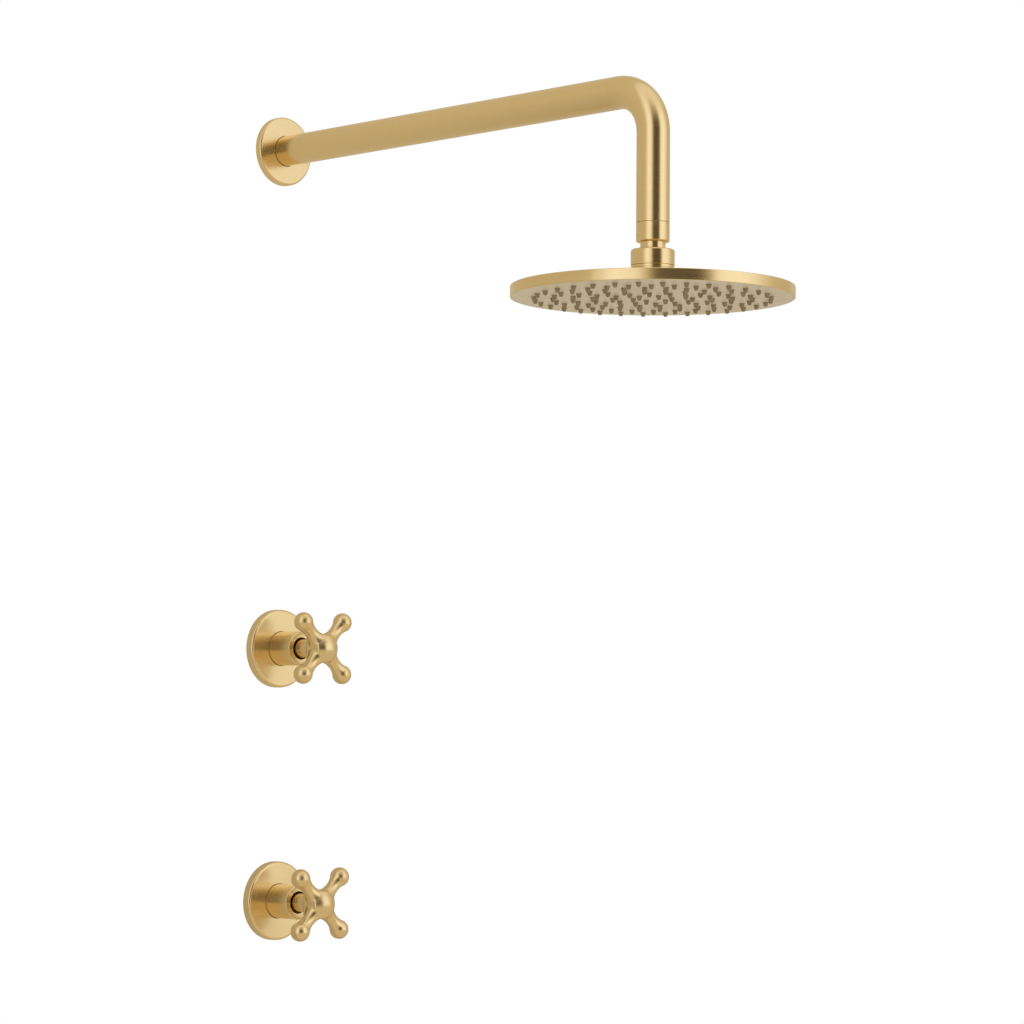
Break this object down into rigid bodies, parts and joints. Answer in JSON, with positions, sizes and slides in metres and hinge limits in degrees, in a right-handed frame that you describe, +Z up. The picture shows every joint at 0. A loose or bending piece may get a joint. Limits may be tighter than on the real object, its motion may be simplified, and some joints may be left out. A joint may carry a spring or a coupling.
{
  "type": "concealed rain shower set",
  "caption": "Brushed brass wall arm bent down to a thin round rain head on a ball joint, above two cross-handle valves joined to it by in-wall pipes.",
  "frame": {"origin": "centre of the drop elbow's back face, on the arm's axis, in the fixing plane; the finished wall is 65 mm in front, at y = -0.065", "axes": "+Z up, +Y into the wall, the room on the -Y side, +X to the right seen from the room"},
  "size_m": [0.2032, 0.5666, 0.6585],
  "materials": {
    "brushed_brass": "brushed satin",
    "cast_brass": "sand cast, tumbled",
    "turned_brass": "turned",
    "copper": "drawn",
    "nitrile_rubber": "matte",
    "foam_rubber": "closed-cell foam",
    "alumina_ceramic": "lapped",
    "acetal": "moulded",
    "stainless_steel": "drawn",
    "spray_plate": "satin champagne coating",
    "silicone": "matte"
  },
  "bodies": {
    "wall_set": {"arm_tube": "brushed_brass", "arm_inlet_nipple": "turned_brass", "arm_outlet_nipple": "turned_brass", "arm_wall_flange": "brushed_brass", "arm_flange_gasket": "foam_rubber", "drop_ear_elbow": "cast_brass", "riser_pipe": "copper", "link_pipe": "copper", "compression_nuts": "turned_brass", "compression_olives": "turned_brass", "volume_valve_body": "cast_brass", "volume_cartridge_housing": "turned_brass", "volume_disc_seal": "nitrile_rubber", "volume_fixed_disc": "alumina_ceramic", "mixer_valve_body": "cast_brass", "mixer_strainers": "stainless_steel", "mixer_cartridge_housing": "turned_brass", "mixer_return_spring": "stainless_steel", "volume_flange": "brushed_brass", "volume_flange_gasket": "foam_rubber", "volume_sleeve": "brushed_brass", "mixer_flange": "brushed_brass", "mixer_flange_gasket": "foam_rubber", "mixer_sleeve": "brushed_brass", "flange_orings": "nitrile_rubber", "swivel_ball_connector": "brushed_brass", "connector_washer": "nitrile_rubber", "flow_limiter": "acetal"},
    "volume_control": {"volume_handle": "brushed_brass", "volume_handle_screw": "stainless_steel", "volume_spindle": "turned_brass", "volume_spindle_orings": "nitrile_rubber", "volume_moving_disc": "alumina_ceramic"},
    "mixer_control": {"mixer_handle": "brushed_brass", "mixer_handle_screw": "stainless_steel", "mixer_spindle": "turned_brass", "mixer_spindle_orings": "nitrile_rubber"},
    "mixer_piston": {"mixer_shuttle": "turned_brass", "mixer_wax_element": "copper"},
    "slip_ring": {"ball_slip_ring": "acetal"},
    "seal_cup": {"ball_seal": "nitrile_rubber"},
    "rain_head": {"collar_nut": "brushed_brass", "collar_ring": "brushed_brass", "head_shell": "brushed_brass", "face_plate": "spray_plate", "nozzle_mat": "silicone"}
  },
  "joints": [
    {"name": "volume_turn", "type": "hinge", "parent": "wall_set", "child": "volume_control", "pos_m": [0, -0.1, -0.4], "axis": [0, -1, 0], "range_deg": [0, 90]},
    {"name": "mixer_turn", "type": "hinge", "parent": "wall_set", "child": "mixer_control", "pos_m": [0, -0.1, -0.6], "axis": [0, -1, 0], "range_deg": [-210, 60]},
    {"name": "mixer_piston_slide", "type": "slide", "parent": "wall_set", "child": "mixer_piston", "axis": [0, 1, 0], "range_m": [-0.003, 0.001], "deforming": ["mixer_return_spring"]},
    {"name": "head_tilt_x", "type": "hinge", "parent": "wall_set", "child": "slip_ring", "pos_m": [0, -0.465, -0.127], "axis": [1, 0, 0], "range_deg": [-8, 8]},
    {"name": "head_tilt_y", "type": "hinge", "parent": "slip_ring", "child": "seal_cup", "pos_m": [0, -0.465, -0.127], "axis": [0, 1, 0], "range_deg": [-8, 8]},
    {"name": "head_spin", "type": "hinge", "parent": "seal_cup", "child": "rain_head", "pos_m": [0, -0.465, -0.127], "axis": [0, 0, 1], "continuous": true}
  ],
  "couplings": [
    {"joint": "mixer_piston_slide", "follows": "mixer_turn", "m_per_rad": 0.0008}
  ]
}
